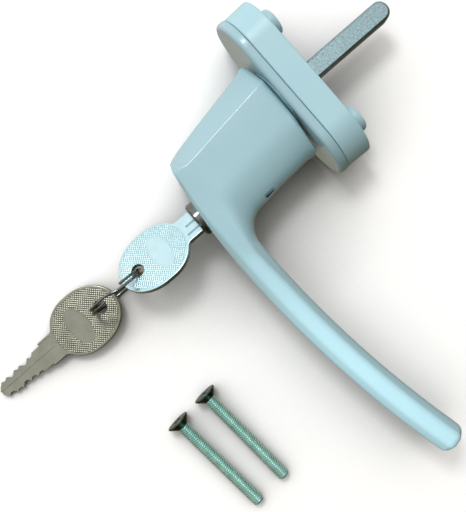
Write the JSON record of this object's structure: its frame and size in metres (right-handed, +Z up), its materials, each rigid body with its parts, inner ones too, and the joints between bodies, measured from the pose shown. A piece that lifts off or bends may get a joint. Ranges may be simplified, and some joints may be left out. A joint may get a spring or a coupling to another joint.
{
  "type": "locking window handle",
  "caption": "L-shaped window handle on an oblong rosette, with a square spindle, a push lock in the neck, a key in it, a spare key on a split ring and loose fixing screws.",
  "frame": {"origin": "centre of the rosette's back face, on the spindle's axis", "axes": "+Y along the spindle into the window, +X along the lever towards the grip's end, +Z up from the table that the handle lies on"},
  "size_m": [0.1578, 0.1879, 0.029],
  "materials": {
    "paint": "pale blue-grey gloss powder coat on a zinc casting",
    "base_plastic": "moulded plastic in the colour of the paint",
    "spindle_steel": "zinc-plated drawn steel, mottled grey",
    "chrome": "polished chrome plate",
    "key_nickel": "bright nickel plate on brass, cross-hatched bow",
    "spare_nickel": "duller nickel plate, cross-hatched bow",
    "screw_zinc": "blue-green passivated zinc on steel",
    "inner_steel": "plain steel",
    "inner_brass": "turned and stamped brass",
    "inner_plastic": "natural acetal"
  },
  "bodies": {
    "rosette": {"base_plate": "base_plastic", "bearing_bush": "inner_plastic", "back_plate": "inner_steel", "detent_springs": "inner_steel", "fixing_screws": "screw_zinc"},
    "cover": {"cover_plate": "paint"},
    "handle": {"lever": "paint", "spindle": "spindle_steel", "cross_pin": "inner_steel", "detent_hub": "inner_plastic", "thrust_washer": "inner_plastic", "circlip": "inner_steel", "stop_pin": "inner_steel"},
    "cylinder": {"lock_housing": "chrome", "locking_pin": "inner_steel", "return_spring": "inner_steel", "plug_pin": "inner_brass"},
    "latch_slider": {"latch": "inner_brass"},
    "plug": {"lock_plug": "inner_brass", "wafers": "inner_brass", "wafer_springs": "inner_steel"},
    "key": {"lock_key": "key_nickel"},
    "ring": {"split_ring": "chrome"},
    "spare": {"spare_key": "spare_nickel"}
  },
  "joints": [
    {"name": "lever_turn", "type": "hinge", "parent": "rosette", "child": "handle", "pos_m": [0, 0, 0], "axis": [0, 1, 0], "range_deg": [0, 180], "deforming": ["detent_springs"]},
    {"name": "cover_turn", "type": "hinge", "parent": "rosette", "child": "cover", "pos_m": [0, 0, 0], "axis": [0, 1, 0], "range_deg": [0, 90]},
    {"name": "lock_push", "type": "slide", "parent": "handle", "child": "cylinder", "axis": [0, 1, 0], "range_m": [0, 0.0028], "stiffness_N_per_m": 400, "springref_m": -0.004, "deforming": ["return_spring"]},
    {"name": "key_turn", "type": "hinge", "parent": "cylinder", "child": "plug", "pos_m": [0.0126, 0, 0], "axis": [0, 1, 0], "range_deg": [0, 90]},
    {"name": "latch_draw", "type": "slide", "parent": "cylinder", "child": "latch_slider", "axis": [0, 0, -1], "range_m": [0, 0.0008]},
    {"name": "key_withdraw", "type": "slide", "parent": "plug", "child": "key", "axis": [0, -1, 0], "range_m": [0, 0.028]},
    {"name": "ring_swing", "type": "hinge", "parent": "key", "child": "ring", "pos_m": [0.0126, -0.08615, 0], "axis": [0, 0, 1], "range_deg": [-40, 40]},
    {"name": "spare_swing", "type": "hinge", "parent": "ring", "child": "spare", "pos_m": [0.0126, -0.10533, -0.0096], "axis": [0, -0.0817, 0.9967], "range_deg": [-40, 40]}
  ],
  "couplings": [
    {"joint": "latch_draw", "follows": "key_turn", "m_per_rad": 0.000505}
  ]
}
